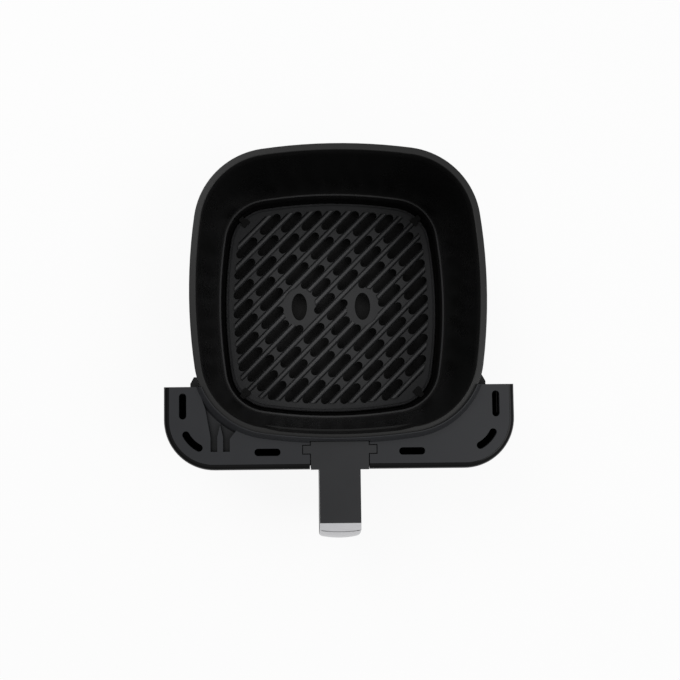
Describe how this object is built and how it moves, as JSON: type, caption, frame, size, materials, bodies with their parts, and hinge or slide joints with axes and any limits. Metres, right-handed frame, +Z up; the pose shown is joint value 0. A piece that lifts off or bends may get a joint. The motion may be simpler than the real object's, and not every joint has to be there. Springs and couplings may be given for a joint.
{
  "type": "air fryer drawer",
  "caption": "Pull-out drawer of an air fryer: rounded-square coated pan, lift-out ribbed crisper plate with finger holes, wrap-around vented front panel and silver-fronted handle.",
  "frame": {"origin": "middle of the pan's flat base, on the surface it rests on", "axes": "+Z up out of the pan, +Y to the back of the pan, away from the handle, +X to the right as the handle faces the user"},
  "size_m": [0.2912, 0.3337, 0.121],
  "materials": {
    "pan_coating": "glossy black non-stick coating",
    "plate_coating": "semi-matt black non-stick coating, fine speckle",
    "silicone": "matt black silicone",
    "black_plastic": "fine-textured black plastic",
    "liner_plastic": "plain black plastic",
    "silver_trim": "satin silver",
    "zinc_steel": "zinc-plated steel"
  },
  "bodies": {
    "drawer": {"pan": "pan_coating", "handle_trim": "silver_trim", "pan_bracket": "zinc_steel", "bracket_nuts": "zinc_steel", "handle_screws": "zinc_steel", "liner_screws": "zinc_steel", "fascia_screws": "zinc_steel", "cap_screws": "zinc_steel", "trim_screws": "zinc_steel", "front_fascia": "black_plastic", "front_cover": "black_plastic", "front_liner": "liner_plastic", "handle_body": "black_plastic", "handle_cap": "black_plastic"},
    "crisper": {"crisper_plate": "plate_coating", "bumper_front_left": "silicone", "bumper_front_right": "silicone", "bumper_back_left": "silicone", "bumper_back_right": "silicone"}
  },
  "joints": [
    {"name": "crisper_lift", "type": "slide", "parent": "drawer", "child": "crisper", "axis": [0, 0, 1], "range_m": [0, 0.125]}
  ]
}
